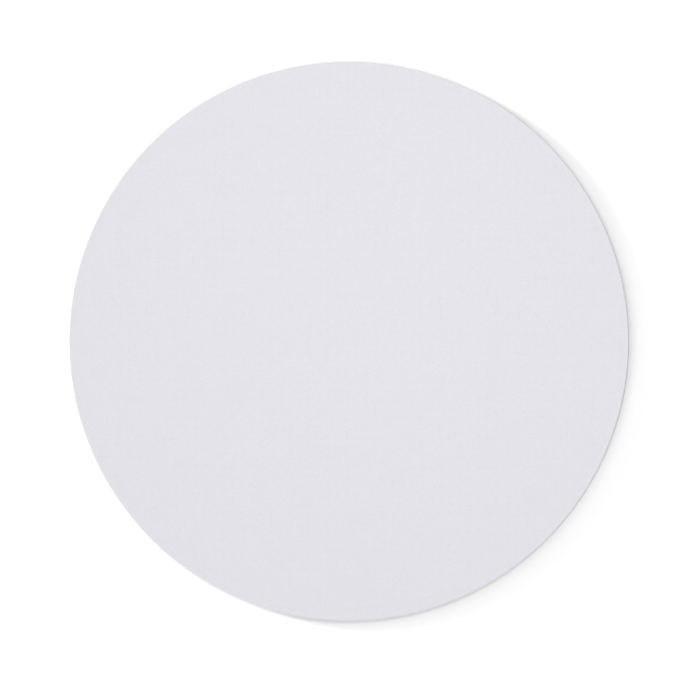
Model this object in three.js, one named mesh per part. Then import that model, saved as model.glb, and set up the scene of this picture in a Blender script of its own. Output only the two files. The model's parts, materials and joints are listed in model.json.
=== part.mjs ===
// A round mouse pad, cut in one stroke from a laminated sheet: a woven face cloth is bonded
// by a thin adhesive film to a base of sponge rubber.
// Millimetres, +Z up. The origin is the middle of the underside, where the pad rests on a desk.
import * as THREE from "three";

// Driving dimensions of the cut sheet
const PAD_DIAMETER = 200;
const BASE_THICKNESS = 2.5;
const FILM_THICKNESS = 0.125;
const CLOTH_THICKNESS = 0.375;

// Driving dimensions of the cut edge
const CUT_HOLLOW = 0.15; // how far the sponge wall springs back inwards at mid height
const CLOTH_EDGE_ROUND = 0.2; // radius that the cutting knife presses on the cloth's upper edge

// Fineness of the round shapes
const RIM_SIDES = 180;
const ARC_STEPS = 4;

const PAD_RADIUS = PAD_DIAMETER / 2;

// Materials, by what each layer is made of
const POLYESTER = new THREE.MeshStandardMaterial({ color: 0xe4e3e9, roughness: 0.9, metalness: 0 });
const HOT_MELT = new THREE.MeshStandardMaterial({ color: 0xcfccc2, roughness: 0.45, metalness: 0 });
const SPONGE_RUBBER = new THREE.MeshStandardMaterial({ color: 0x1d1d1f, roughness: 0.88, metalness: 0 });

// A profile in the half plane of radius and height, started at the middle of the layer's lower face.
function startProfile() {
  const profile = new THREE.Path();
  profile.moveTo(0, 0);
  return profile;
}

// A disc of revolution about Z from a profile that starts and ends on the axis.
function turnedDisc(profile) {
  const disc = new THREE.LatheGeometry(profile.getPoints(ARC_STEPS), RIM_SIDES);
  disc.rotateX(Math.PI / 2);
  return disc;
}

// The sponge base: flat below and above, with a wall that is slightly hollow where the knife
// squeezed the sponge and it sprang back.
function baseGeometry() {
  const profile = startProfile();
  profile.lineTo(PAD_RADIUS, 0);
  const controlRadius = PAD_RADIUS - 2 * CUT_HOLLOW;
  profile.quadraticCurveTo(controlRadius, BASE_THICKNESS / 2, PAD_RADIUS, BASE_THICKNESS);
  profile.lineTo(0, BASE_THICKNESS);
  return turnedDisc(profile);
}

// The adhesive film: a plain disc, cut flush with the layers that it bonds.
function filmGeometry() {
  const profile = startProfile();
  profile.lineTo(PAD_RADIUS, 0);
  profile.lineTo(PAD_RADIUS, FILM_THICKNESS);
  profile.lineTo(0, FILM_THICKNESS);
  return turnedDisc(profile);
}

// The face cloth: a disc whose upper edge is rounded over by the knife.
function clothGeometry() {
  const round = Math.min(CLOTH_EDGE_ROUND, CLOTH_THICKNESS);
  const profile = startProfile();
  profile.lineTo(PAD_RADIUS, 0);
  profile.lineTo(PAD_RADIUS, CLOTH_THICKNESS - round);
  profile.absarc(PAD_RADIUS - round, CLOTH_THICKNESS - round, round, 0, Math.PI / 2);
  profile.lineTo(0, CLOTH_THICKNESS);
  return turnedDisc(profile);
}

// A named layer of the laminate, lying on what is below it.
function layer(name, geometry, material, height) {
  const mesh = new THREE.Mesh(geometry, material);
  mesh.name = name;
  mesh.position.z = height;
  return mesh;
}

const mousePad = new THREE.Group();
mousePad.name = "mouse_pad";

// The layers are stacked from the desk up, face to face.
const filmHeight = BASE_THICKNESS;
const clothHeight = filmHeight + FILM_THICKNESS;
mousePad.add(layer("rubber_base", baseGeometry(), SPONGE_RUBBER, 0));
mousePad.add(layer("adhesive_film", filmGeometry(), HOT_MELT, filmHeight));
mousePad.add(layer("face_cloth", clothGeometry(), POLYESTER, clothHeight));

export default mousePad;
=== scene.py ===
"""A round cloth mouse pad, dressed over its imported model.

The pad is a laminate that was cut in one stroke: a woven face cloth, a thin adhesive film and a base of
sponge rubber. All lengths are in metres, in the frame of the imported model.
"""
import json
import logging
import math
from collections.abc import Mapping, Sequence
from dataclasses import dataclass, field
from enum import Enum
from typing import Any

import bmesh
import bpy
from mathutils import Matrix, Vector, noise


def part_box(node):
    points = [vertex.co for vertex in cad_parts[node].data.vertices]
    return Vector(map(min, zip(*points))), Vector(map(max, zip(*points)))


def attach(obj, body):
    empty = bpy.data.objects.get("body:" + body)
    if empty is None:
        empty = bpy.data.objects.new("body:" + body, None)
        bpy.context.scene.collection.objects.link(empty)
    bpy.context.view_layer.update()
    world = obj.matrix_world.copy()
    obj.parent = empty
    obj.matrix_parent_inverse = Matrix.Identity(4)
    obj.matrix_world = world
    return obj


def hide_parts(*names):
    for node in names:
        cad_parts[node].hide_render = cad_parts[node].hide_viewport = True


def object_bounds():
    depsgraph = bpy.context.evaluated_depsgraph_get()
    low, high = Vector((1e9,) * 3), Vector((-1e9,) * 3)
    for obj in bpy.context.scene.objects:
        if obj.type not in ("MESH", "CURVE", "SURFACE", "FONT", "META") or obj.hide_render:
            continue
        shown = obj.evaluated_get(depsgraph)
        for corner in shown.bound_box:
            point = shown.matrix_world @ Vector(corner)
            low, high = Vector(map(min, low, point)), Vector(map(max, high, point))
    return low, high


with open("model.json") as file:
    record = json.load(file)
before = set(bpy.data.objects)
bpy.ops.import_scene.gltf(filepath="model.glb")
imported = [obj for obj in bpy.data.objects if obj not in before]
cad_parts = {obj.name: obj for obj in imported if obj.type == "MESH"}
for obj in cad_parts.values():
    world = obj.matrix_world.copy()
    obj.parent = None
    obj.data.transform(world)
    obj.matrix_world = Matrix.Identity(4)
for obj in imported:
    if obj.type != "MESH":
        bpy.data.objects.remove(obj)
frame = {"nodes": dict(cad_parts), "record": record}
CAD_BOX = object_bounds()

LOG = logging.getLogger("mouse_pad")
BODY = "root"
MILLIMETRE = 0.001
BAKE_MAP = "OFBake"
BAKE_PIXELS = 1024
AXES = 3
MATRIX_SIZE = 4
RIGHT_ANGLE = 90
SQUARE_CORNERS = 4

# The middle of what runs from 0 to 1: noise, dice, the width of a yarn and the bake's map
MIDDLE = 0.5

# The angle between two faces from which the edge between them stays sharp
CREASE = math.radians(35)

Colour = tuple[float, float, float]
Key = str | int
WHITE: Colour = (1.0, 1.0, 1.0)


class Layer(Enum):
    """The layers of the laminate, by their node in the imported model."""

    CLOTH = "face_cloth"
    FILM = "adhesive_film"
    SPONGE = "rubber_base"

    def slot(self) -> str:
        """Returns the record's material slot of this layer."""
        rows = frame["record"]["subparts"]
        return next(row["material_slot"] for row in rows if row["node"] == self.value)


class Side(Enum):
    """The four sides that yarns run out to, by the direction that they point in."""

    FAR = (0.0, 1.0)
    NEAR = (0.0, -1.0)
    RIGHT = (1.0, 0.0)
    LEFT = (-1.0, 0.0)


class Value:
    """A number that varies over a surface: an output of a node, whose operators add Math nodes."""

    def __init__(self, graph: "Graph", node: bpy.types.Node, output: Key = 0) -> None:
        """Holds an output of a node.

        Args:
            graph: The graph that the node is in.
            node: The node.
            output: The output's place, name or identifier.
        """
        self.graph = graph
        self.node = node
        self.output = output

    def socket(self) -> bpy.types.NodeSocket:
        """Returns the output socket that this value comes from."""
        return find_socket(self.node.outputs, self.output)

    def out(self, output: Key) -> "Value":
        """Returns another output of the same node."""
        return Value(self.graph, self.node, output)

    def maths(self, operation: str, *others: "Value | float") -> "Value":
        """Returns the result of a Math node on this value and up to two others."""
        return self.graph.maths(operation, self, *others)

    def __add__(self, other: "Value | float") -> "Value":
        """Adds."""
        return self.graph.maths("ADD", self, other)

    def __radd__(self, other: float) -> "Value":
        """Adds to a plain number."""
        return self.graph.maths("ADD", other, self)

    def __sub__(self, other: "Value | float") -> "Value":
        """Subtracts."""
        return self.graph.maths("SUBTRACT", self, other)

    def __rsub__(self, other: float) -> "Value":
        """Subtracts from a plain number."""
        return self.graph.maths("SUBTRACT", other, self)

    def __mul__(self, other: "Value | float") -> "Value":
        """Multiplies."""
        return self.graph.maths("MULTIPLY", self, other)

    def __rmul__(self, other: float) -> "Value":
        """Multiplies a plain number."""
        return self.graph.maths("MULTIPLY", other, self)

    def __truediv__(self, other: "Value | float") -> "Value":
        """Divides."""
        return self.graph.maths("DIVIDE", self, other)

    def __rtruediv__(self, other: float) -> "Value":
        """Divides a plain number."""
        return self.graph.maths("DIVIDE", other, self)

    def floor(self) -> "Value":
        """Rounds down."""
        return self.maths("FLOOR")

    def fraction(self) -> "Value":
        """Returns what is left after rounding down."""
        return self.maths("FRACT")

    def root(self) -> "Value":
        """Returns the square root."""
        return self.maths("SQRT")

    def cosine(self) -> "Value":
        """Returns the cosine."""
        return self.maths("COSINE")

    def higher(self, other: "Value | float") -> "Value":
        """Returns the larger of two values."""
        return self.maths("MAXIMUM", other)

    def step(self, start: float, end: float) -> "Value":
        """Returns a smooth step from 0 at start to 1 at end."""
        inputs = {"Value": self, "From Min": start, "From Max": end}
        return self.graph.node("ShaderNodeMapRange", {"interpolation_type": "SMOOTHSTEP"}, inputs)


Given = Value | float | int | bool | Sequence[float] | Sequence[Value] | bpy.types.ID


def find_socket(sockets: Any, key: Key) -> bpy.types.NodeSocket:
    """Finds a socket of a node.

    Args:
        sockets: The node's inputs or outputs.
        key: The socket's place, or the name or identifier of one that is in use.

    Returns:
        The socket.
    """
    if isinstance(key, int):
        return sockets[key]
    return next(s for s in sockets if s.enabled and key in (s.name, s.identifier))


class Graph:
    """A node tree that is written as expressions: one method adds any node."""

    def __init__(self, tree: bpy.types.NodeTree) -> None:
        """Takes a tree and empties it."""
        self.tree = tree
        tree.nodes.clear()

    def node(
        self,
        kind: str,
        settings: Mapping[str, Any] | None = None,
        inputs: Mapping[Key, Given] | None = None,
        output: Key = 0,
    ) -> Value:
        """Adds a node.

        Args:
            kind: The node's type.
            settings: Its properties, which are set first.
            inputs: The values or links of its input sockets, by name, identifier or place.
            output: Which of its outputs is returned.

        Returns:
            That output as a value.
        """
        node = self.tree.nodes.new(kind)
        for name, setting in (settings or {}).items():
            setattr(node, name, setting)
        for key, given in (inputs or {}).items():
            self.feed(find_socket(node.inputs, key), given)
        return Value(self, node, output)

    def feed(self, socket: bpy.types.NodeSocket, given: Given) -> None:
        """Feeds an input socket.

        Args:
            socket: The input socket.
            given: A value to link, a list of values to link one after the other, or a constant.
        """
        if isinstance(given, Value):
            self.tree.links.new(given.socket(), socket)
        elif isinstance(given, list):
            for value in given:
                self.tree.links.new(value.socket(), socket)
        else:
            socket.default_value = given

    def maths(self, operation: str, *operands: Value | float) -> Value:
        """Adds a Math node on up to three operands."""
        return self.node("ShaderNodeMath", {"operation": operation}, dict(enumerate(operands)))

    def vector_maths(self, operation: str, *operands: Given) -> Value:
        """Adds a Vector Math node on its operands."""
        return self.node("ShaderNodeVectorMath", {"operation": operation}, dict(enumerate(operands)))

    def mix(self, share: Value | float, first: Given, second: Given, blend: str = "MIX") -> Value:
        """Mixes two colours.

        Args:
            share: How much of the second colour is taken.
            first: The colour, or a link to it, at a share of 0.
            second: The colour, or a link to it, at a share of 1.
            blend: How the two are blended.

        Returns:
            The mixed colour.
        """
        settings = {"data_type": "RGBA", "blend_type": blend}
        inputs = {"Factor": share, "A": opaque(first), "B": opaque(second)}
        return self.node("ShaderNodeMix", settings, inputs, "Result")

    def place(self) -> tuple[Value, Value, Value, Value]:
        """Finds where the surface is.

        Returns:
            Its point in the pad's frame, and that point's x, y and z.
        """
        point = self.node("ShaderNodeTexCoord", output="Object")
        parts = self.node("ShaderNodeSeparateXYZ", inputs={"Vector": point})
        return point, parts.out("X"), parts.out("Y"), parts.out("Z")

    def grain(self, point: Value, size: float, detail: float = 2.0) -> Value:
        """Returns smooth noise from 0 to 1 whose lumps have about the size given."""
        inputs = {"Vector": point, "Scale": 1 / size, "Detail": detail}
        return self.node("ShaderNodeTexNoise", {"noise_dimensions": "3D"}, inputs, "Fac")

    def cells(self, point: Value, size: float) -> Value:
        """Returns how far a point is from the middle of its cell, in cells of about the size given."""
        inputs = {"Vector": point, "Scale": 1 / size}
        return self.node("ShaderNodeTexVoronoi", {"feature": "F1"}, inputs, "Distance")

    def dice(self, number: Value, seed: float) -> Value:
        """Returns a fixed random value from 0 to 1 for each whole number."""
        inputs = {"W": number + seed}
        return self.node("ShaderNodeTexWhiteNoise", {"noise_dimensions": "1D"}, inputs, "Value")


def opaque(colour: Given) -> Given:
    """Returns a plain colour with its alpha, and a link as it is."""
    return colour if isinstance(colour, Value) else (*colour, 1.0)


class Finish:
    """What the finishes share: how a node material starts, gets its relief and ends."""

    def start(self, name: str) -> tuple[bpy.types.Material, Graph]:
        """Starts a material.

        Args:
            name: The material's name.

        Returns:
            The material, and the graph to build it in.
        """
        material = bpy.data.materials.new(name)
        material.use_nodes = True
        return material, Graph(material.node_tree)

    def end(self, graph: Graph, inputs: Mapping[str, Given]) -> None:
        """Adds the Principled shader with these inputs, and the material's output."""
        shader = graph.node("ShaderNodeBsdfPrincipled", inputs=inputs)
        graph.node("ShaderNodeOutputMaterial", inputs={"Surface": shader})

    def bump(self, graph: Graph, height: Value, depth: float) -> Value:
        """Returns the normal of a surface with this relief, from 0 to 1, of the depth given."""
        return graph.node("ShaderNodeBump", inputs={"Height": height, "Distance": depth})


@dataclass(frozen=True)
class PlainWeave:
    """Where a point lies in a plain weave: its two yarns' numbers and crowns, and which is on top."""

    column: Value
    row: Value
    over: Value
    warp_crown: Value
    weft_crown: Value

    @classmethod
    def at(cls, x: Value, y: Value, pitch: Value | float) -> "PlainWeave":
        """Finds a point's place in the weave.

        Args:
            x: The point's place across the warp, which runs along Y.
            y: The point's place across the weft, which runs along X.
            pitch: The distance from one yarn to the next.

        Returns:
            The place, with crowns from 0 between yarns to 1 on them, and over as 1 on the warp's
            crossings and -1 on the weft's.
        """
        across, along = x / pitch, y / pitch
        column, row = across.floor(), along.floor()
        # Half the sum of the yarns' numbers has a fraction of 0 or a half, in turn
        over = 1 - ((column + row) / 2).fraction() * 4
        warp_crown = ((across.fraction() - MIDDLE) * math.pi).cosine()
        weft_crown = ((along.fraction() - MIDDLE) * math.pi).cosine()
        return cls(column, row, over, warp_crown, weft_crown)

    def warp_rise(self) -> Value:
        """Returns how high the warp rises here, from -1 at the back to 1 at the face."""
        return self.over * self.weft_crown

    def weft_rise(self) -> Value:
        """Returns how high the weft rises here, from -1 at the back to 1 at the face."""
        return 0 - self.over * self.warp_crown


@dataclass(frozen=True)
class WovenPolyester(Finish):
    """A fine bluish white plain weave with slightly uneven yarns, warp along Y and weft along X."""

    colour: Colour = (0.8085, 0.799, 0.85)
    yarn_pitch: float = 0.4 * MILLIMETRE
    yarn_relief: float = 0.03 * MILLIMETRE
    # Painted shade: how much darker the colour is made between the yarns, where the weave's gaps lie in
    # shade
    painted_valley_shade: float = 0.1
    crossing_blend: float = 0.02
    warp_unevenness: float = 0.006
    weft_unevenness: float = 0.005
    crossing_unevenness: float = 0.034
    slub_width: float = 0.7 * MILLIMETRE
    slub_length: float = 5 * MILLIMETRE
    slub_shade: float = 0.014
    fibre_width: float = 0.045 * MILLIMETRE
    fibre_length: float = 0.6 * MILLIMETRE
    fibre_shade: float = 0.3
    fibre_relief: float = 0.4
    cloud_size: float = 14 * MILLIMETRE
    cloud_shade: float = 0.008
    crown_roughness: float = 0.72
    valley_roughness: float = 0.92
    sheen: float = 0.1
    sheen_roughness: float = 0.5
    specular: float = 0.25
    warp_seed: float = 17.0
    weft_seed: float = 811.0
    crossing_seed: float = 77.0
    crossing_stride: float = 1031.0

    def streaks(self, graph: Graph, point: Value, width: float, stretch: Sequence[float]) -> Value:
        """Returns noise around 0 whose lumps have this width and are drawn out along a yarn.

        Args:
            graph: The material's graph.
            point: Where the surface is.
            width: The lumps' width across the yarn.
            stretch: What each coordinate is multiplied by, less than 1 along the yarn.

        Returns:
            The noise, from about -0.5 to 0.5.
        """
        return graph.grain(graph.vector_maths("MULTIPLY", point, stretch), width) - MIDDLE

    def material(self) -> bpy.types.Material:
        """Builds the cloth's material.

        Returns:
            The material.
        """
        material, graph = self.start("woven_polyester")
        point, x, y, _ = graph.place()
        weave = PlainWeave.at(x, y, self.yarn_pitch)
        warp = weave.warp_crown * (1 + weave.warp_rise()) / 2
        weft = weave.weft_crown * (1 + weave.weft_rise()) / 2
        relief = warp.higher(weft)
        warp_on_top = (warp - weft).step(-self.crossing_blend, self.crossing_blend)

        warp_tone = (graph.dice(weave.column, self.warp_seed) - MIDDLE) * self.warp_unevenness
        weft_tone = (graph.dice(weave.row, self.weft_seed) - MIDDLE) * self.weft_unevenness
        yarn_tone = weft_tone + warp_on_top * (warp_tone - weft_tone)
        crossing = weave.column + weave.row * self.crossing_stride
        crossing_tone = (graph.dice(crossing, self.crossing_seed) - MIDDLE) * self.crossing_unevenness
        slub_stretch = (1.0, self.slub_width / self.slub_length, 1.0)
        slubs = self.streaks(graph, point, self.slub_width, slub_stretch) * self.slub_shade
        clouds = (graph.grain(point, self.cloud_size) - MIDDLE) * self.cloud_shade
        # Painted shade: the colour is darkened in the gaps between the yarns, where shade falls
        hollow = (1 - relief) * (1 - relief) * self.painted_valley_shade

        drawn = self.fibre_width / self.fibre_length
        warp_fibres = self.streaks(graph, point, self.fibre_width, (1.0, drawn, 1.0))
        weft_fibres = self.streaks(graph, point, self.fibre_width, (drawn, 1.0, 1.0))
        fibres = weft_fibres + warp_on_top * (warp_fibres - weft_fibres)
        tone = 1 + yarn_tone + crossing_tone + slubs + clouds - hollow + fibres * self.fibre_shade

        roughness = self.valley_roughness + relief * (self.crown_roughness - self.valley_roughness)
        self.end(
            graph,
            {
                "Base Color": graph.mix(1.0, self.colour, tone, "MULTIPLY"),
                "Roughness": roughness,
                "Normal": self.bump(graph, relief + fibres * self.fibre_relief, self.yarn_relief),
                "Specular IOR Level": self.specular,
                "Sheen Weight": self.sheen,
                "Sheen Roughness": self.sheen_roughness,
            },
        )
        return material


@dataclass(frozen=True)
class YarnFibre(Finish):
    """The cut ends of the cloth's yarns: the same white fibre, showing the tips of its filaments."""

    colour: Colour = (0.8, 0.792, 0.842)
    filament: float = 0.042 * MILLIMETRE
    gap_start: float = 0.3
    gap_end: float = 0.75
    # Painted shade: how much darker the colour is made in the gaps between the filament tips
    painted_gap_shade: float = 0.18
    filament_relief: float = 0.012 * MILLIMETRE
    tip_roughness: float = 0.8
    gap_roughness: float = 0.95
    sheen: float = 0.1

    def material(self) -> bpy.types.Material:
        """Builds the fibre's material.

        Returns:
            The material.
        """
        material, graph = self.start("cut_yarn_fibre")
        point, _, _, _ = graph.place()
        gaps = graph.cells(point, self.filament).step(self.gap_start, self.gap_end)
        # Painted shade: the colour is darkened in the gaps between the filament tips, where shade falls
        self.end(
            graph,
            {
                "Base Color": graph.mix(1.0, self.colour, 1 - gaps * self.painted_gap_shade, "MULTIPLY"),
                "Roughness": self.tip_roughness + gaps * (self.gap_roughness - self.tip_roughness),
                "Normal": self.bump(graph, 1 - gaps, self.filament_relief),
                "Sheen Weight": self.sheen,
            },
        )
        return material


@dataclass(frozen=True)
class HotMelt(Finish):
    """A milky adhesive film with cloudy streaks, a little glossy where it is cut."""

    clear_colour: Colour = (0.66, 0.64, 0.58)
    cloudy_colour: Colour = (0.54, 0.52, 0.46)
    streak_length: float = 2.5 * MILLIMETRE
    streak_height: float = 0.05 * MILLIMETRE
    streak_detail: float = 4.0
    cloud_start: float = 0.35
    cloud_end: float = 0.65
    smear_relief: float = 0.008 * MILLIMETRE
    gloss_roughness: float = 0.38
    dull_roughness: float = 0.6

    def material(self) -> bpy.types.Material:
        """Builds the film's material.

        Returns:
            The material.
        """
        material, graph = self.start("hot_melt_film")
        point, _, _, _ = graph.place()
        flattening = (1.0, 1.0, self.streak_length / self.streak_height)
        flattened = graph.vector_maths("MULTIPLY", point, flattening)
        smears = graph.grain(flattened, self.streak_length, self.streak_detail)
        cloudy = smears.step(self.cloud_start, self.cloud_end)
        self.end(
            graph,
            {
                "Base Color": graph.mix(cloudy, self.clear_colour, self.cloudy_colour),
                "Roughness": self.gloss_roughness + cloudy * (self.dull_roughness - self.gloss_roughness),
                "Normal": self.bump(graph, smears, self.smear_relief),
            },
        )
        return material


@dataclass(frozen=True)
class SpongeRubber(Finish):
    """Black foamed rubber: open cells on the cut wall, a moulded skin and a little dust below."""

    radius: float
    skin_colour: Colour = (0.021, 0.021, 0.023)
    # Painted shade: the colour inside the open cells, darker because they lie in shade
    painted_pore_shade: Colour = (0.006, 0.006, 0.007)
    dust_colour: Colour = (0.07, 0.068, 0.064)
    wall_depth: float = 0.21 * MILLIMETRE
    wall_blend: float = 0.05 * MILLIMETRE
    large_cell: float = 0.32 * MILLIMETRE
    small_cell: float = 0.13 * MILLIMETRE
    small_cell_share: float = 0.7
    cell_floor: float = 0.12
    cell_rim: float = 0.42
    cell_relief: float = 0.08 * MILLIMETRE
    skin_grain: float = 0.25 * MILLIMETRE
    skin_detail: float = 3.0
    skin_relief: float = 0.2
    groove_start: float = 0.12 * MILLIMETRE
    groove_end: float = 0.24 * MILLIMETRE
    dust_patch: float = 6 * MILLIMETRE
    dust_detail: float = 6.0
    dust_start: float = 0.45
    dust_end: float = 0.7
    dust_share: float = 0.5
    land_roughness: float = 0.74
    wall_roughness: float = 0.93
    roughness_spread: float = 0.1
    specular: float = 0.3

    def open_cells(self, graph: Graph, point: Value, size: float) -> Value:
        """Returns how deep the open cells of one size are, from 0 on the rubber to 1 inside a cell."""
        return 1 - graph.cells(point, size).step(self.cell_floor, self.cell_rim)

    def material(self) -> bpy.types.Material:
        """Builds the sponge's material.

        Returns:
            The material.
        """
        material, graph = self.start("sponge_rubber")
        point, x, y, z = graph.place()
        reach = (x * x + y * y).root()
        inner = self.radius - self.wall_depth
        wall = reach.step(inner - self.wall_blend, inner)
        large = self.open_cells(graph, point, self.large_cell)
        small = self.open_cells(graph, point, self.small_cell)
        pores = large.higher(small * self.small_cell_share)
        skin = graph.grain(point, self.skin_grain, self.skin_detail)
        patches = graph.grain(point, self.dust_patch, self.dust_detail)
        dust = patches.step(self.dust_start, self.dust_end) * self.dust_share
        groove = z.step(self.groove_start, self.groove_end) * (1 - wall)

        # Painted shade: the open cells on the wall are coloured darker, where shade falls in them
        rubber = graph.mix(pores * wall, self.skin_colour, self.painted_pore_shade)
        colour = graph.mix(groove * dust, rubber, self.dust_colour)
        dull = wall.higher(groove)
        roughness = self.land_roughness + dull * (self.wall_roughness - self.land_roughness)
        skin_height = (1 - self.skin_relief) + skin * self.skin_relief
        relief = wall * (1 - pores) + (1 - wall) * skin_height
        self.end(
            graph,
            {
                "Base Color": colour,
                "Roughness": roughness + (skin - MIDDLE) * self.roughness_spread,
                "Normal": self.bump(graph, relief, self.cell_relief),
                "Specular IOR Level": self.specular,
            },
        )
        return material


@dataclass(frozen=True)
class StudioFloor(Finish):
    """A white floor that the camera sees as pure white, with the pad's shadow kept in it."""

    bounce_colour: Colour = (0.8, 0.8, 0.8)
    shadow_share: float = 1.0
    white_level: float = 1.26

    def material(self) -> bpy.types.Material:
        """Builds the floor's material: plain for other rays, lifted to white where it is seen.

        Returns:
            The material.
        """
        material, graph = self.start("studio_floor")
        shadow_colour = (self.shadow_share,) * len(WHITE)
        bounced = graph.node("ShaderNodeBsdfDiffuse", inputs={"Color": opaque(self.bounce_colour)})
        shaded = graph.node("ShaderNodeBsdfDiffuse", inputs={"Color": opaque(shadow_colour)})
        glow = graph.node("ShaderNodeEmission", inputs={"Strength": self.white_level - self.shadow_share})
        shown = graph.node("ShaderNodeAddShader", inputs={0: shaded, 1: glow})
        shares = {0: seen_directly(graph), 1: bounced, 2: shown}
        surface = graph.node("ShaderNodeMixShader", inputs=shares)
        graph.node("ShaderNodeOutputMaterial", inputs={"Surface": surface})
        return material


def seen_directly(graph: Graph) -> Value:
    """Returns 1 for the rays that show a background: the camera's, mirrored and passed-through ones."""
    path = graph.node("ShaderNodeLightPath", output="Is Camera Ray")
    return path.higher(path.out("Is Glossy Ray")).higher(path.out("Is Transmission Ray"))


@dataclass(frozen=True)
class Disc:
    """The space that a layer takes up in the laminate."""

    radius: float
    low: float
    high: float

    @classmethod
    def of(cls, layer: Layer) -> "Disc":
        """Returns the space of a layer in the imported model."""
        lowest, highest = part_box(layer.value)
        return cls((highest[0] - lowest[0]) / 2, lowest[2], highest[2])

    def thickness(self) -> float:
        """Returns how thick the layer is."""
        return self.high - self.low


def new_piece(
    name: str, mesh: bpy.types.Mesh, material: bpy.types.Material, layer: Layer
) -> bpy.types.Object:
    """Makes a finished mesh a piece of the pad.

    Args:
        name: The piece's name.
        mesh: Its mesh, in its place.
        material: Its finish.
        layer: The layer of the laminate that it belongs to; not used.

    Returns:
        The piece, which rides on the pad's one body.
    """
    mesh.name = name
    mesh.materials.clear()
    mesh.materials.append(material)
    piece = bpy.data.objects.new(name, mesh)
    bpy.context.scene.collection.objects.link(piece)
    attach(piece, BODY)
    return piece


def finished(shape: bmesh.types.BMesh, name: str) -> bpy.types.Mesh:
    """Turns a built shape into a mesh.

    Args:
        shape: The shape, which is freed.
        name: The mesh's name.

    Returns:
        The mesh.
    """
    mesh = bpy.data.meshes.new(name)
    shape.to_mesh(mesh)
    shape.free()
    return mesh


def smooth(mesh: bpy.types.Mesh, crease: float = CREASE) -> None:
    """Shades a mesh smoothly, but for the edges that are sharper than the crease."""
    mesh.polygons.foreach_set("use_smooth", [True] * len(mesh.polygons))
    mesh.set_sharp_from_angle(angle=crease)


def wander(angle: float, height: float, amount: float, lobe: float, radius: float, seed: float) -> float:
    """Returns how far a cut edge strays from its circle.

    Args:
        angle: The angle about the pad's axis.
        height: The height of the point.
        amount: The furthest that the edge strays.
        lobe: The length of one stray along the edge.
        radius: The circle's radius.
        seed: A number that sets this edge apart from others.

    Returns:
        The stray, outwards if positive.
    """
    reach = radius / lobe
    place = Vector((math.cos(angle) * reach, math.sin(angle) * reach, height / lobe + seed))
    return amount * noise.noise(place)


class GrownMesh:
    """A geometry node tree with named inputs, which is run once on a mesh and then thrown away."""

    def __init__(self, name: str, takes_mesh: bool) -> None:
        """Starts a tree that returns a geometry.

        Args:
            name: The tree's name.
            takes_mesh: Whether the tree also takes a mesh to start from.
        """
        self.tree = bpy.data.node_groups.new(name, "GeometryNodeTree")
        self.graph = Graph(self.tree)
        ways = ("OUTPUT", "INPUT") if takes_mesh else ("OUTPUT",)
        for way in ways:
            self.tree.interface.new_socket("Geometry", in_out=way, socket_type="NodeSocketGeometry")
        self.source = self.graph.node("NodeGroupInput")
        self.settings: dict[str, Any] = {}

    def size(self, name: str, number: float) -> Value:
        """Adds a named size or count as an input of the tree and returns it."""
        kind = "NodeSocketInt" if isinstance(number, int) else "NodeSocketFloat"
        return self.add_input(name, kind, number)

    def add_input(self, name: str, kind: str, setting: Any) -> Value:
        """Adds a named input to the tree.

        Args:
            name: The input's name.
            kind: The type of its socket.
            setting: What the modifier sets it to.

        Returns:
            The input as a value.
        """
        item = self.tree.interface.new_socket(name, in_out="INPUT", socket_type=kind)
        self.settings[item.identifier] = setting
        return self.source.out(name)

    def run(
        self, shape: Value, material: bpy.types.Material, mesh: bpy.types.Mesh | None = None
    ) -> bpy.types.Mesh:
        """Ends the tree and runs it.

        Args:
            shape: The geometry that the tree makes.
            material: The finish that is set on it.
            mesh: The mesh that the tree starts from, if it takes one.

        Returns:
            The result as a plain mesh.
        """
        finish = self.add_input("Material", "NodeSocketMaterial", material)
        real = self.graph.node("GeometryNodeRealizeInstances", inputs={"Geometry": shape})
        dressing = {"Geometry": real, "Material": finish}
        dressed = self.graph.node("GeometryNodeSetMaterial", inputs=dressing)
        self.graph.node("NodeGroupOutput", inputs={"Geometry": dressed})
        start = mesh or bpy.data.meshes.new(self.tree.name)
        holder = bpy.data.objects.new(self.tree.name, start)
        bpy.context.scene.collection.objects.link(holder)
        modifier = holder.modifiers.new(self.tree.name, "NODES")
        modifier.node_group = self.tree
        for identifier, setting in self.settings.items():
            modifier[identifier] = setting
        evaluated = holder.evaluated_get(bpy.context.evaluated_depsgraph_get())
        result = bpy.data.meshes.new_from_object(evaluated)
        holder.modifiers.remove(modifier)
        bpy.data.objects.remove(holder)
        bpy.data.meshes.remove(start)
        bpy.data.node_groups.remove(self.tree)
        return result


@dataclass(frozen=True)
class PeeledMap:
    """A map for the bake of a round layer: its shown face in the middle, its wall round it as a ring.

    The face that is hidden in the laminate goes small into a corner.
    """

    face_radius: float
    face_pixels: float
    wall_pixels: float
    corner_inset: float = 80.0
    corner_radius: float = 72.0

    def on_face(self, x: float, y: float) -> tuple[float, float]:
        """Returns the map's point for a point of the shown face."""
        scale = self.face_pixels / self.face_radius / BAKE_PIXELS
        return MIDDLE + x * scale, MIDDLE + y * scale

    def on_wall(self, x: float, y: float, share: float) -> tuple[float, float]:
        """Returns the map's point for a point of the wall, at this share of the way from the shown face."""
        scale = (self.face_pixels + share * self.wall_pixels) / math.hypot(x, y) / BAKE_PIXELS
        return MIDDLE + x * scale, MIDDLE + y * scale

    def on_hidden(self, x: float, y: float) -> tuple[float, float]:
        """Finds a point of the hidden face on the map.

        Args:
            x: The point's first coordinate.
            y: The point's second coordinate.

        Returns:
            The map's point.
        """
        middle = 1 - self.corner_inset / BAKE_PIXELS
        scale = self.corner_radius / self.face_radius / BAKE_PIXELS
        return middle + x * scale, middle + y * scale


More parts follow.
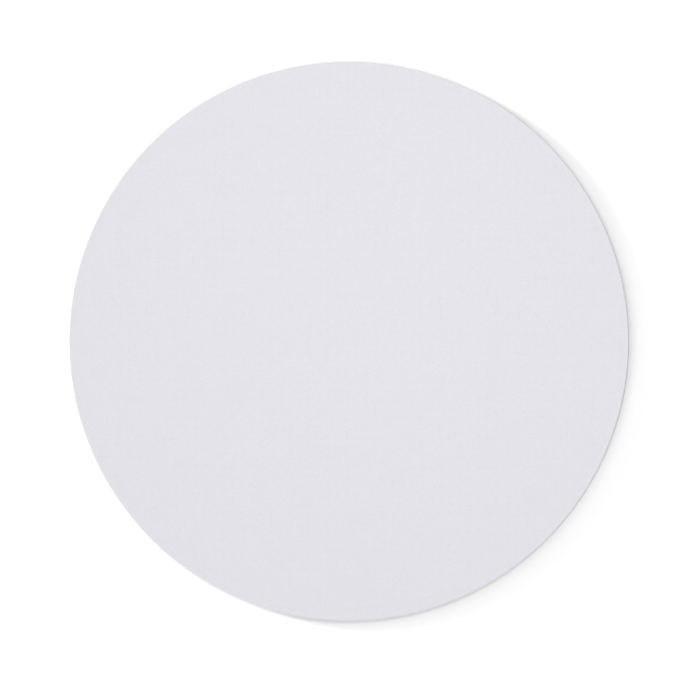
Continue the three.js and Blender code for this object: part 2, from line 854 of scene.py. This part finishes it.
@dataclass
class FaceCloth:
    """The woven cloth that the mouse runs on, bonded flat, with its upper edge pressed round."""

    space: Disc
    finish: WovenPolyester
    cells: int = 112
    edge_round: float = 0.08 * MILLIMETRE
    round_steps: int = 6
    edge_margin: float = 0.12 * MILLIMETRE
    unevenness: float = 0.006 * MILLIMETRE
    uneven_length: float = 22 * MILLIMETRE
    even_rim: int = 8
    edge_stray: float = 0.03 * MILLIMETRE
    stray_length: float = 5 * MILLIMETRE
    seed: float = 3.7
    face_pixels: float = 499.0
    wall_pixels: float = 11.0

    def flat_radius(self) -> float:
        """Returns the radius at which the upper edge starts to round over."""
        return self.space.radius - self.edge_round

    def grid_radius(self) -> float:
        """Returns the radius of the even grid, which ends a little inside the flat's edge."""
        return self.flat_radius() - self.edge_margin

    def spread(self, u: float, v: float) -> tuple[float, float]:
        """Takes a point of the square from -1 to 1 to the disc, so that its cells stay even.

        Args:
            u: The point's first coordinate.
            v: The point's second coordinate.

        Returns:
            The point's place on the flat of the cloth.
        """
        if abs(u) >= abs(v):
            reach = u
            angle = math.pi / 4 * (v / u if u else 0.0)
        else:
            reach = v
            angle = math.pi / 2 - math.pi / 4 * (u / v)
        reach *= self.grid_radius()
        return reach * math.cos(angle), reach * math.sin(angle)

    def height(self, x: float, y: float) -> float:
        """Finds the slightly uneven height of the flat, which never passes the model's top.

        Args:
            x: The point's first coordinate.
            y: The point's second coordinate.

        Returns:
            The height, which is even at the rim.
        """
        fade = 1 - (math.hypot(x, y) / self.grid_radius()) ** self.even_rim
        place = Vector((x / self.uneven_length, y / self.uneven_length, self.seed))
        return self.space.high - self.unevenness * fade * (1 + noise.noise(place)) / 2

    def rim_steps(self) -> list[tuple[float, float]]:
        """Works out the edge's profile from the flat's end down.

        Returns:
            How far out from the flat's end, and how high, each ring of points lies.
        """
        steps = []
        for index in range(self.round_steps + 1):
            turn = math.pi / 2 * index / self.round_steps
            out = self.edge_round * math.sin(turn)
            steps.append((out, self.space.high - self.edge_round * (1 - math.cos(turn))))
        steps.append((self.edge_round, self.space.low))
        return steps

    def border(self) -> list[tuple[int, int]]:
        """Lists the corners along the grid's border.

        Returns:
            Each corner's place in the grid, once round.
        """
        last = self.cells
        run = range(last)
        near = [(i, 0) for i in run]
        right = [(last, i) for i in run]
        far = [(last - i, last) for i in run]
        left = [(0, last - i) for i in run]
        return near + right + far + left

    def lay_flat(self, shape: bmesh.types.BMesh) -> list[bmesh.types.BMVert]:
        """Adds the even grid of the flat.

        Args:
            shape: The mesh that is built.

        Returns:
            The points of its border, once round.
        """
        grid = {}
        for i in range(self.cells + 1):
            for j in range(self.cells + 1):
                x, y = self.spread(2 * i / self.cells - 1, 2 * j / self.cells - 1)
                grid[i, j] = shape.verts.new((x, y, self.height(x, y)))
        for i in range(self.cells):
            for j in range(self.cells):
                shape.faces.new((grid[i, j], grid[i + 1, j], grid[i + 1, j + 1], grid[i, j + 1]))
        return [grid[place] for place in self.border()]

    def turn_edge(
        self, shape: bmesh.types.BMesh, border: list[bmesh.types.BMVert]
    ) -> list[list[bmesh.types.BMVert]]:
        """Adds the rings of points from the flat's border over the edge and down to the back.

        Args:
            shape: The mesh that is built.
            border: The points of the flat's border, once round.

        Returns:
            The rings, with the border as the first.
        """
        rings = [border]
        for out, high in self.rim_steps():
            ring = []
            for corner in border:
                angle = math.atan2(corner.co.y, corner.co.x)
                stray = wander(
                    angle, 0.0, self.edge_stray, self.stray_length, self.space.radius, self.seed
                )
                reach = self.flat_radius() + out + stray * out / self.edge_round
                ring.append(shape.verts.new((reach * math.cos(angle), reach * math.sin(angle), high)))
            rings.append(ring)
        return rings

    def mesh(self) -> bpy.types.Mesh:
        """Builds the cloth: an even grid on the flat, rings over the edge, and a closed back.

        Returns:
            The mesh, with its map for the bake.
        """
        peeled = PeeledMap(self.grid_radius(), self.face_pixels, self.wall_pixels)
        shape = bmesh.new()
        layer = shape.loops.layers.uv.new(BAKE_MAP)
        border = self.lay_flat(shape)
        for face in shape.faces:
            for loop in face.loops:
                loop[layer].uv = peeled.on_face(loop.vert.co.x, loop.vert.co.y)

        rings = self.turn_edge(shape, border)
        bands = len(rings) - 1
        for level in range(bands):
            upper, lower = rings[level], rings[level + 1]
            shares = (level / bands, (level + 1) / bands, (level + 1) / bands, level / bands)
            for i in range(len(border)):
                j = (i + 1) % len(border)
                face = shape.faces.new((upper[i], lower[i], lower[j], upper[j]))
                for loop, share in zip(face.loops, shares):
                    loop[layer].uv = peeled.on_wall(loop.vert.co.x, loop.vert.co.y, share)
        back = shape.faces.new(list(reversed(rings[-1])))
        for loop in back.loops:
            loop[layer].uv = peeled.on_hidden(loop.vert.co.x, loop.vert.co.y)

        mesh = finished(shape, "woven_face")
        smooth(mesh)
        return mesh

    def build(self) -> bpy.types.Object:
        """Builds the cloth and hides the part of the model that it replaces.

        Returns:
            The piece.
        """
        piece = new_piece("woven_face", self.mesh(), self.finish.material(), Layer.CLOTH)
        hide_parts(Layer.CLOTH.value)
        return piece

    def declare(self) -> None:
        across = 2 * self.space.radius
        area = math.pi * self.space.radius**2


@dataclass
class YarnEnds:
    """The yarns' cut ends, which stand a hair out of the cloth's edge, high and low as it is woven."""

    space: Disc
    finish: YarnFibre
    yarn_pitch: float
    shown_share: float = 0.95
    half_width: float = 0.18 * MILLIMETRE
    half_height: float = 0.085 * MILLIMETRE
    half_length: float = 0.16 * MILLIMETRE
    segments: int = 8
    rings: int = 4
    sunk: float = 0.1 * MILLIMETRE
    shortest: float = 0.85
    longest: float = 1.1
    tilt: float = 0.1
    weave_lift: float = 0.05 * MILLIMETRE
    height_share: float = 0.42
    crease: float = math.radians(80)
    seed: int = 5
    seed_step: int = 10

    def stub(self, grown: GrownMesh) -> Value:
        """Shapes one yarn end.

        Args:
            grown: The tree that is built.

        Returns:
            A flattened round stub that points up.
        """
        graph = grown.graph
        sphere = {"Segments": self.segments, "Rings": self.rings, "Radius": 1.0}
        ball = graph.node("GeometryNodeMeshUVSphere", inputs=sphere, output="Mesh")
        size = graph.node(
            "ShaderNodeCombineXYZ",
            inputs={
                "X": grown.size("End Half Width", self.half_width),
                "Y": grown.size("End Half Height", self.half_height),
                "Z": grown.size("End Half Length", self.half_length),
            },
        )
        return graph.node("GeometryNodeTransform", inputs={"Geometry": ball, "Scale": size})

    def chance(self, graph: Graph, kind: str, low: Given, high: Given, seed: int) -> Value:
        """Returns a random value or vector between two limits, fixed by its seed."""
        inputs = {"Min": low, "Max": high, "Seed": seed}
        return graph.node("FunctionNodeRandomValue", {"data_type": kind}, inputs, "Value")

    def heading(self, graph: Graph, side: Side, seed: int) -> Value:
        """Turns yarn ends to a side, each a little askew.

        Args:
            graph: The tree's graph.
            side: The side that they point to.
            seed: The seed of their tilts.

        Returns:
            Their rotations, with the flat of each stub level.
        """
        lowest, highest = (-self.tilt,) * AXES, (self.tilt,) * AXES
        lean = self.chance(graph, "FLOAT_VECTOR", lowest, highest, seed)
        ahead = graph.vector_maths("ADD", lean, (*side.value, 0.0))
        pointed = graph.node("FunctionNodeAlignRotationToVector", {"axis": "Z"}, {"Vector": ahead})
        return graph.node(
            "FunctionNodeAlignRotationToVector",
            {"axis": "Y", "pivot_axis": "Z"},
            {"Rotation": pointed, "Vector": (0.0, 0.0, 1.0)},
        )

    def ends_on(
        self, side: Side, seed: int, grown: GrownMesh, stub: Value, sizes: Mapping[str, Value]
    ) -> Value:
        """Sets yarn ends along one side of the rim.

        Args:
            side: The side that they point to.
            seed: The seed of their uneven lengths and tilts.
            grown: The tree that is built.
            stub: One yarn end.
            sizes: The tree's radius, pitch, count and height.

        Returns:
            The ends as instances.
        """
        graph = grown.graph
        along = (graph.node("GeometryNodeInputIndex") - (sizes["count"] - 1) / 2) * sizes["pitch"]
        out = (sizes["radius"] * sizes["radius"] - along * along).root()
        east, north = side.value
        x, y = out * east - along * north, out * north + along * east
        weave = PlainWeave.at(x, y, sizes["pitch"])
        rise = weave.warp_rise() if north else weave.weft_rise()
        height = sizes["height"] + rise * self.weave_lift
        place = graph.node("ShaderNodeCombineXYZ", inputs={"X": x, "Y": y, "Z": height})
        points = graph.node("GeometryNodePoints", inputs={"Count": sizes["count"], "Position": place})
        turned = self.heading(graph, side, seed)
        stretch = self.chance(graph, "FLOAT", self.shortest, self.longest, seed + 1)
        scale = graph.node("ShaderNodeCombineXYZ", inputs={"X": 1.0, "Y": 1.0, "Z": stretch})
        return graph.node(
            "GeometryNodeInstanceOnPoints",
            inputs={"Points": points, "Instance": stub, "Rotation": turned, "Scale": scale},
        )

    def mesh(self, material: bpy.types.Material) -> bpy.types.Mesh:
        """Grows all the yarn ends as one mesh.

        Args:
            material: The ends' finish.

        Returns:
            The mesh, with one end to a yarn over the shown share of each side.
        """
        grown = GrownMesh("cut_yarn_ends", takes_mesh=False)
        count = 2 * int(self.shown_share * self.space.radius / self.yarn_pitch)
        height = self.space.low + self.height_share * self.space.thickness()
        sizes = {
            "radius": grown.size("Ends Radius", self.space.radius - self.sunk),
            "pitch": grown.size("Yarn Pitch", self.yarn_pitch),
            "count": grown.size("Ends per Side", count),
            "height": grown.size("Yarn Height", height),
        }
        stub = self.stub(grown)
        ends = []
        for index, side in enumerate(Side):
            seed = self.seed + self.seed_step * index
            ends.append(self.ends_on(side, seed, grown, stub, sizes))
        rim = grown.graph.node("GeometryNodeJoinGeometry", inputs={"Geometry": ends})
        return grown.run(rim, material)

    def build(self) -> bpy.types.Object:
        """Builds the yarn ends.

        Returns:
            All of them as one piece.
        """
        material = self.finish.material()
        mesh = self.mesh(material)
        smooth(mesh, self.crease)
        return new_piece("cut_yarn_ends", mesh, material, Layer.CLOTH)


@dataclass
class AdhesiveFilm:
    """The film between cloth and sponge. Its solid is right as it is and only gets its finish."""

    finish: HotMelt

    def build(self) -> bpy.types.Object:
        """Dresses the film's solid.

        Returns:
            The piece.
        """
        piece = frame["nodes"][Layer.FILM.value]
        piece.data.materials.clear()
        piece.data.materials.append(self.finish.material())
        return piece


@dataclass
class SpongeBase:
    """The sponge sheet: a wall that springs in between its edges, and low diamond studs underneath."""

    space: Disc
    finish: SpongeRubber
    hollow: float = 0.15 * MILLIMETRE
    sectors: int = 720
    wall_steps: int = 9
    wall_stray: float = 0.05 * MILLIMETRE
    stray_length: float = 2.5 * MILLIMETRE
    seed: float = 21.3
    stud_pitch: float = 3 * MILLIMETRE
    stud_land: float = 2 * MILLIMETRE
    stud_relief: float = 0.25 * MILLIMETRE
    stud_flare: float = 0.8
    spare_studs: int = 5
    block_thicknesses: float = 2.0
    overlap: float = 0.1 * MILLIMETRE
    merge_distance: float = 0.002 * MILLIMETRE
    face_pixels: float = 470.0
    wall_pixels: float = 40.0
    wall_hollows: float = 3.0
    facing_share: float = 0.5

    def blank(self) -> bpy.types.Mesh:
        """Builds the cut disc before its studs are formed, closed, with a hollow, slightly uneven wall.

        Returns:
            The mesh, which reaches a little below the pad, where the studs will end it.
        """
        shape = bmesh.new()
        rings = []
        for level in range(self.wall_steps + 1):
            share = level / self.wall_steps
            # A parabola that is 1 at half the height and 0 at both edges
            bow = 4 * share * (1 - share)
            drop = 0.0 if level else self.overlap
            high = self.space.low + share * self.space.thickness() - drop
            ring = []
            for sector in range(self.sectors):
                angle = 2 * math.pi * sector / self.sectors
                stray = wander(
                    angle, high, self.wall_stray, self.stray_length, self.space.radius, self.seed
                )
                reach = self.space.radius - bow * (self.hollow + stray)
                ring.append(shape.verts.new((reach * math.cos(angle), reach * math.sin(angle), high)))
            rings.append(ring)
        for lower, upper in zip(rings, rings[1:]):
            for i in range(self.sectors):
                j = (i + 1) % self.sectors
                shape.faces.new((lower[i], lower[j], upper[j], upper[i]))
        shape.faces.new(list(reversed(rings[0])))
        shape.faces.new(rings[-1])
        return finished(shape, "sponge_blank")

    def square_ring(self, graph: Graph, inner: Given, outer: Given, depth: Given, lift: Given) -> Value:
        """Returns four faces between two squares, facing down.

        Args:
            graph: The tree that is built.
            inner: The half diagonal of the lower, smaller square.
            outer: The half diagonal of the upper, larger square.
            depth: How far apart the squares are.
            lift: The height of the lower square.

        Returns:
            The open ring.
        """
        sizes = {"Vertices": SQUARE_CORNERS, "Radius Bottom": inner, "Radius Top": outer, "Depth": depth}
        ring = graph.node("GeometryNodeMeshCone", {"fill_type": "NONE"}, sizes, "Mesh")
        place = graph.node("ShaderNodeCombineXYZ", inputs={"Z": lift})
        return graph.node("GeometryNodeTransform", inputs={"Geometry": ring, "Translation": place})

    def stud_tile(self, grown: GrownMesh, pitch: Value) -> Value:
        """Shapes one stud as an open tile, facing down.

        Args:
            grown: The tree that is built.
            pitch: The distance from one stud to the next.

        Returns:
            The stud's land, its flanks and the groove round them.
        """
        graph = grown.graph
        land = grown.size("Stud Land", self.stud_land)
        relief = grown.size("Stud Relief", self.stud_relief)
        flare = grown.size("Stud Flare", self.stud_flare)
        land_corner = land / math.sqrt(2)
        foot_corner = (land + 2 * flare * relief) / math.sqrt(2)
        square = {"Vertices": SQUARE_CORNERS, "Radius": land_corner}
        face = graph.node("GeometryNodeMeshCircle", {"fill_type": "NGON"}, square, "Mesh")
        down = graph.node("GeometryNodeFlipFaces", inputs={"Mesh": face})
        flanks = self.square_ring(graph, land_corner, foot_corner, relief, 0.0)
        groove = self.square_ring(graph, foot_corner, pitch / math.sqrt(2), 0.0, relief)
        return graph.node("GeometryNodeJoinGeometry", inputs={"Geometry": [down, flanks, groove]})

    def underside(self, grown: GrownMesh, merge: Value) -> Value:
        """Lays stud tiles over the whole underside and a little past it, in rows askew to the axes.

        Args:
            grown: The tree that is built.
            merge: The distance within which the tiles' corners are joined.

        Returns:
            The tiles as one open sheet, facing down.
        """
        graph = grown.graph
        radius = grown.size("Pad Radius", self.space.radius)
        pitch = grown.size("Stud Pitch", self.stud_pitch)
        across = (radius / pitch).floor() * 2 + self.spare_studs
        side = (across - 1) * pitch
        lattice = graph.node(
            "GeometryNodeMeshGrid",
            inputs={"Size X": side, "Size Y": side, "Vertices X": across, "Vertices Y": across},
            output="Mesh",
        )
        spot = graph.node("GeometryNodeInputPosition")
        reach = graph.node("ShaderNodeVectorMath", {"operation": "LENGTH"}, {0: spot}, "Value")
        near = {"Geometry": lattice, "Selection": graph.maths("LESS_THAN", reach, radius + pitch)}
        kept = graph.node("GeometryNodeSeparateGeometry", {"domain": "POINT"}, near, "Selection")
        askew = (0.0, 0.0, math.pi / 4)
        turning = {"Geometry": self.stud_tile(grown, pitch), "Rotation": askew}
        tile = graph.node("GeometryNodeTransform", inputs=turning)
        laid = graph.node("GeometryNodeInstanceOnPoints", inputs={"Points": kept, "Instance": tile})
        turned = graph.node("GeometryNodeTransform", inputs={"Geometry": laid, "Rotation": askew})
        loose = graph.node("GeometryNodeRealizeInstances", inputs={"Geometry": turned})
        return graph.node("GeometryNodeMergeByDistance", inputs={"Geometry": loose, "Distance": merge})

    def studded(self, material: bpy.types.Material) -> bpy.types.Mesh:
        """Forms the studs: the underside is raised to a block, and what the cut disc shares with it is kept.

        Args:
            material: The sponge's finish.

        Returns:
            The sponge's mesh.
        """
        grown = GrownMesh("sponge_base", takes_mesh=True)
        graph = grown.graph
        height = grown.size("Block Height", self.block_thicknesses * self.space.thickness())
        merge = grown.size("Merge Distance", self.merge_distance)
        underside = self.underside(grown, merge)
        raising = {
            "Mesh": graph.node("GeometryNodeFlipFaces", inputs={"Mesh": underside}),
            "Offset": graph.node("ShaderNodeCombineXYZ", inputs={"Z": height}),
            "Offset Scale": 1.0,
            "Individual": False,
        }
        raised = graph.node("GeometryNodeExtrudeMesh", {"mode": "FACES"}, raising, "Mesh")
        shell = graph.node("GeometryNodeJoinGeometry", inputs={"Geometry": [raised, underside]})
        block = graph.node("GeometryNodeMergeByDistance", inputs={"Geometry": shell, "Distance": merge})
        settings = {"operation": "INTERSECT", "solver": "MANIFOLD"}
        solids = [grown.source.out("Geometry"), block]
        cut = graph.node("GeometryNodeMeshBoolean", settings, {"Mesh": solids}, "Mesh")
        welded = graph.node("GeometryNodeMergeByDistance", inputs={"Geometry": cut, "Distance": merge})
        sponge = graph.node("GeometryNodeTriangulate", inputs={"Mesh": welded})
        return grown.run(sponge, material, self.blank())

    def lay_out(self, mesh: bpy.types.Mesh) -> None:
        """Gives the sponge its map for the bake: the underside peeled flat, with the wall round it.

        Args:
            mesh: The sponge's mesh.
        """
        peeled = PeeledMap(self.space.radius, self.face_pixels, self.wall_pixels)
        thickness = self.space.thickness()
        rim = self.space.radius - self.wall_hollows * self.hollow
        layer = mesh.uv_layers.new(name=BAKE_MAP)
        for face in mesh.polygons:
            reach = face.center.xy.length
            outward = face.normal.xy.dot(face.center.xy) / max(reach, thickness)
            at_rim = reach > rim
            for index in face.loop_indices:
                point = mesh.vertices[mesh.loops[index].vertex_index].co
                if face.normal.z > self.facing_share:
                    spot = peeled.on_hidden(point.x, point.y)
                elif outward > self.facing_share and at_rim:
                    spot = peeled.on_wall(point.x, point.y, (point.z - self.space.low) / thickness)
                else:
                    spot = peeled.on_face(point.x, point.y)
                layer.data[index].uv = spot

    def build(self) -> bpy.types.Object:
        """Builds the sponge and hides the part of the model that it replaces.

        Returns:
            The piece.
        """
        material = self.finish.material()
        mesh = self.studded(material)
        smooth(mesh)
        self.lay_out(mesh)
        piece = new_piece("sponge_base", mesh, material, Layer.SPONGE)
        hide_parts(Layer.SPONGE.value)
        return piece


@dataclass(frozen=True)
class Softbox:
    """A round, even lamp that faces the pad, with its angles in degrees.

    Its level is how brightly it lights a white floor under it, where 1 is white.
    """

    name: str
    level: float
    azimuth: float
    elevation: float
    half_angle: float
    distance: float = 40.0

    def place(self) -> None:
        """Adds the lamp at its azimuth and elevation, so that it lights the floor to its level."""
        radius = self.distance * math.tan(math.radians(self.half_angle))
        facing = math.pi * self.level / math.sin(math.radians(self.elevation))
        lamp = bpy.data.lights.new(self.name, "AREA")
        lamp.shape = "DISK"
        lamp.size = 2 * radius
        # An even disc lights what faces it with its power over pi times the sum of these squares
        lamp.energy = facing * math.pi * (radius**2 + self.distance**2)
        rig = bpy.data.objects.new(self.name, lamp)
        turn = Matrix.Rotation(math.radians(self.azimuth + RIGHT_ANGLE), MATRIX_SIZE, "Z")
        tilt = Matrix.Rotation(math.radians(RIGHT_ANGLE - self.elevation), MATRIX_SIZE, "X")
        rig.matrix_world = turn @ tilt @ Matrix.Translation((0.0, 0.0, self.distance))
        bpy.context.scene.collection.objects.link(rig)


@dataclass
class Studio:
    """The white floor, the surroundings, the lamps and the camera that looks straight down.

    The pad's centre and radius in the picture are in pixels. The lamps and the surroundings together
    light the floor to a level of 1.
    """

    pad: Disc
    floor: StudioFloor = field(default_factory=StudioFloor)
    image_size: float = 700.0
    pad_centre: tuple[float, float] = (348.85, 341.2)
    pad_pixels: float = 279.6
    lens: float = 150.0
    sensor: float = 36.0
    floor_reach: float = 12.0
    floor_gap: float = 0.02 * MILLIMETRE
    ambient: float = 0.337
    low_lamp: Softbox = Softbox("low_softbox", level=0.241, azimuth=157.1, elevation=11.0, half_angle=6.0)
    near_lamp: Softbox = Softbox("near_softbox", level=0.08, azimuth=241.2, elevation=21.7, half_angle=14.0)
    high_lamp: Softbox = Softbox("high_softbox", level=0.116, azimuth=248.2, elevation=65.9, half_angle=14.0)
    far_lamp: Softbox = Softbox("far_softbox", level=0.061, azimuth=130.3, elevation=37.2, half_angle=14.0)
    over_lamp: Softbox = Softbox(
        "over_softbox", level=0.165, azimuth=68.0, elevation=79.0, half_angle=3.7, distance=0.42
    )

    def lay_floor(self) -> bpy.types.Object:
        """Lays the floor just under the pad.

        Returns:
            The floor.
        """
        shape = bmesh.new()
        bmesh.ops.create_grid(shape, x_segments=1, y_segments=1, size=self.floor_reach)
        shape.transform(Matrix.Translation((0.0, 0.0, CAD_BOX[0][2] - self.floor_gap)))
        mesh = finished(shape, "floor")
        mesh.materials.append(self.floor.material())
        floor = bpy.data.objects.new("floor", mesh)
        bpy.context.scene.collection.objects.link(floor)
        return floor

    def surround(self) -> None:
        """Sets the surroundings: white where they are seen, an even low light otherwise."""
        world = bpy.data.worlds.new("studio")
        world.use_nodes = True
        graph = Graph(world.node_tree)
        colour = opaque(WHITE)
        light = graph.node("ShaderNodeBackground", inputs={"Strength": self.ambient, "Color": colour})
        white = graph.node("ShaderNodeBackground", inputs={"Strength": 1.0, "Color": colour})
        shown = graph.node("ShaderNodeMixShader", inputs={0: seen_directly(graph), 1: light, 2: white})
        graph.node("ShaderNodeOutputWorld", inputs={"Surface": shown})
        bpy.context.scene.world = world

    def aim_camera(self) -> None:
        """Places the camera so that the pad's rim falls on its circle in the photograph."""
        metres_per_pixel = self.pad.radius / self.pad_pixels
        middle = self.image_size / 2
        lens = bpy.data.cameras.new("camera")
        lens.lens = self.lens
        lens.sensor_width = self.sensor
        lens.sensor_fit = "HORIZONTAL"
        camera = bpy.data.objects.new("camera", lens)
        distance = self.image_size * metres_per_pixel * self.lens / self.sensor
        across = (middle - self.pad_centre[0]) * metres_per_pixel
        up = (self.pad_centre[1] - middle) * metres_per_pixel
        camera.location = (across, up, self.pad.high + distance)
        bpy.context.scene.collection.objects.link(camera)
        bpy.context.scene.camera = camera

    def build(self) -> bpy.types.Object:
        """Builds the studio.

        Returns:
            Its floor.
        """
        bpy.context.scene.view_settings.view_transform = "Standard"
        self.surround()
        for lamp in (self.low_lamp, self.near_lamp, self.high_lamp, self.far_lamp, self.over_lamp):
            lamp.place()
        self.aim_camera()
        return self.lay_floor()


def report(piece: bpy.types.Object) -> None:
    """Logs a finished piece and how many faces it has."""
    LOG.info("%s: %d faces", piece.name, len(piece.data.polygons))


def main() -> None:
    """Builds the pad's layers from the face down, then the studio round them."""
    logging.basicConfig(level=logging.INFO, format="%(name)s: %(message)s")
    weave = WovenPolyester()
    cloth_space, sponge_space = Disc.of(Layer.CLOTH), Disc.of(Layer.SPONGE)
    cloth = FaceCloth(cloth_space, weave)
    face = cloth.build()
    report(face)
    ends = YarnEnds(cloth_space, YarnFibre(), weave.yarn_pitch).build()
    report(ends)
    cloth.declare()
    report(AdhesiveFilm(HotMelt()).build())
    report(SpongeBase(sponge_space, SpongeRubber(sponge_space.radius)).build())
    report(Studio(cloth_space).build())


if __name__ == "__main__":
    main()
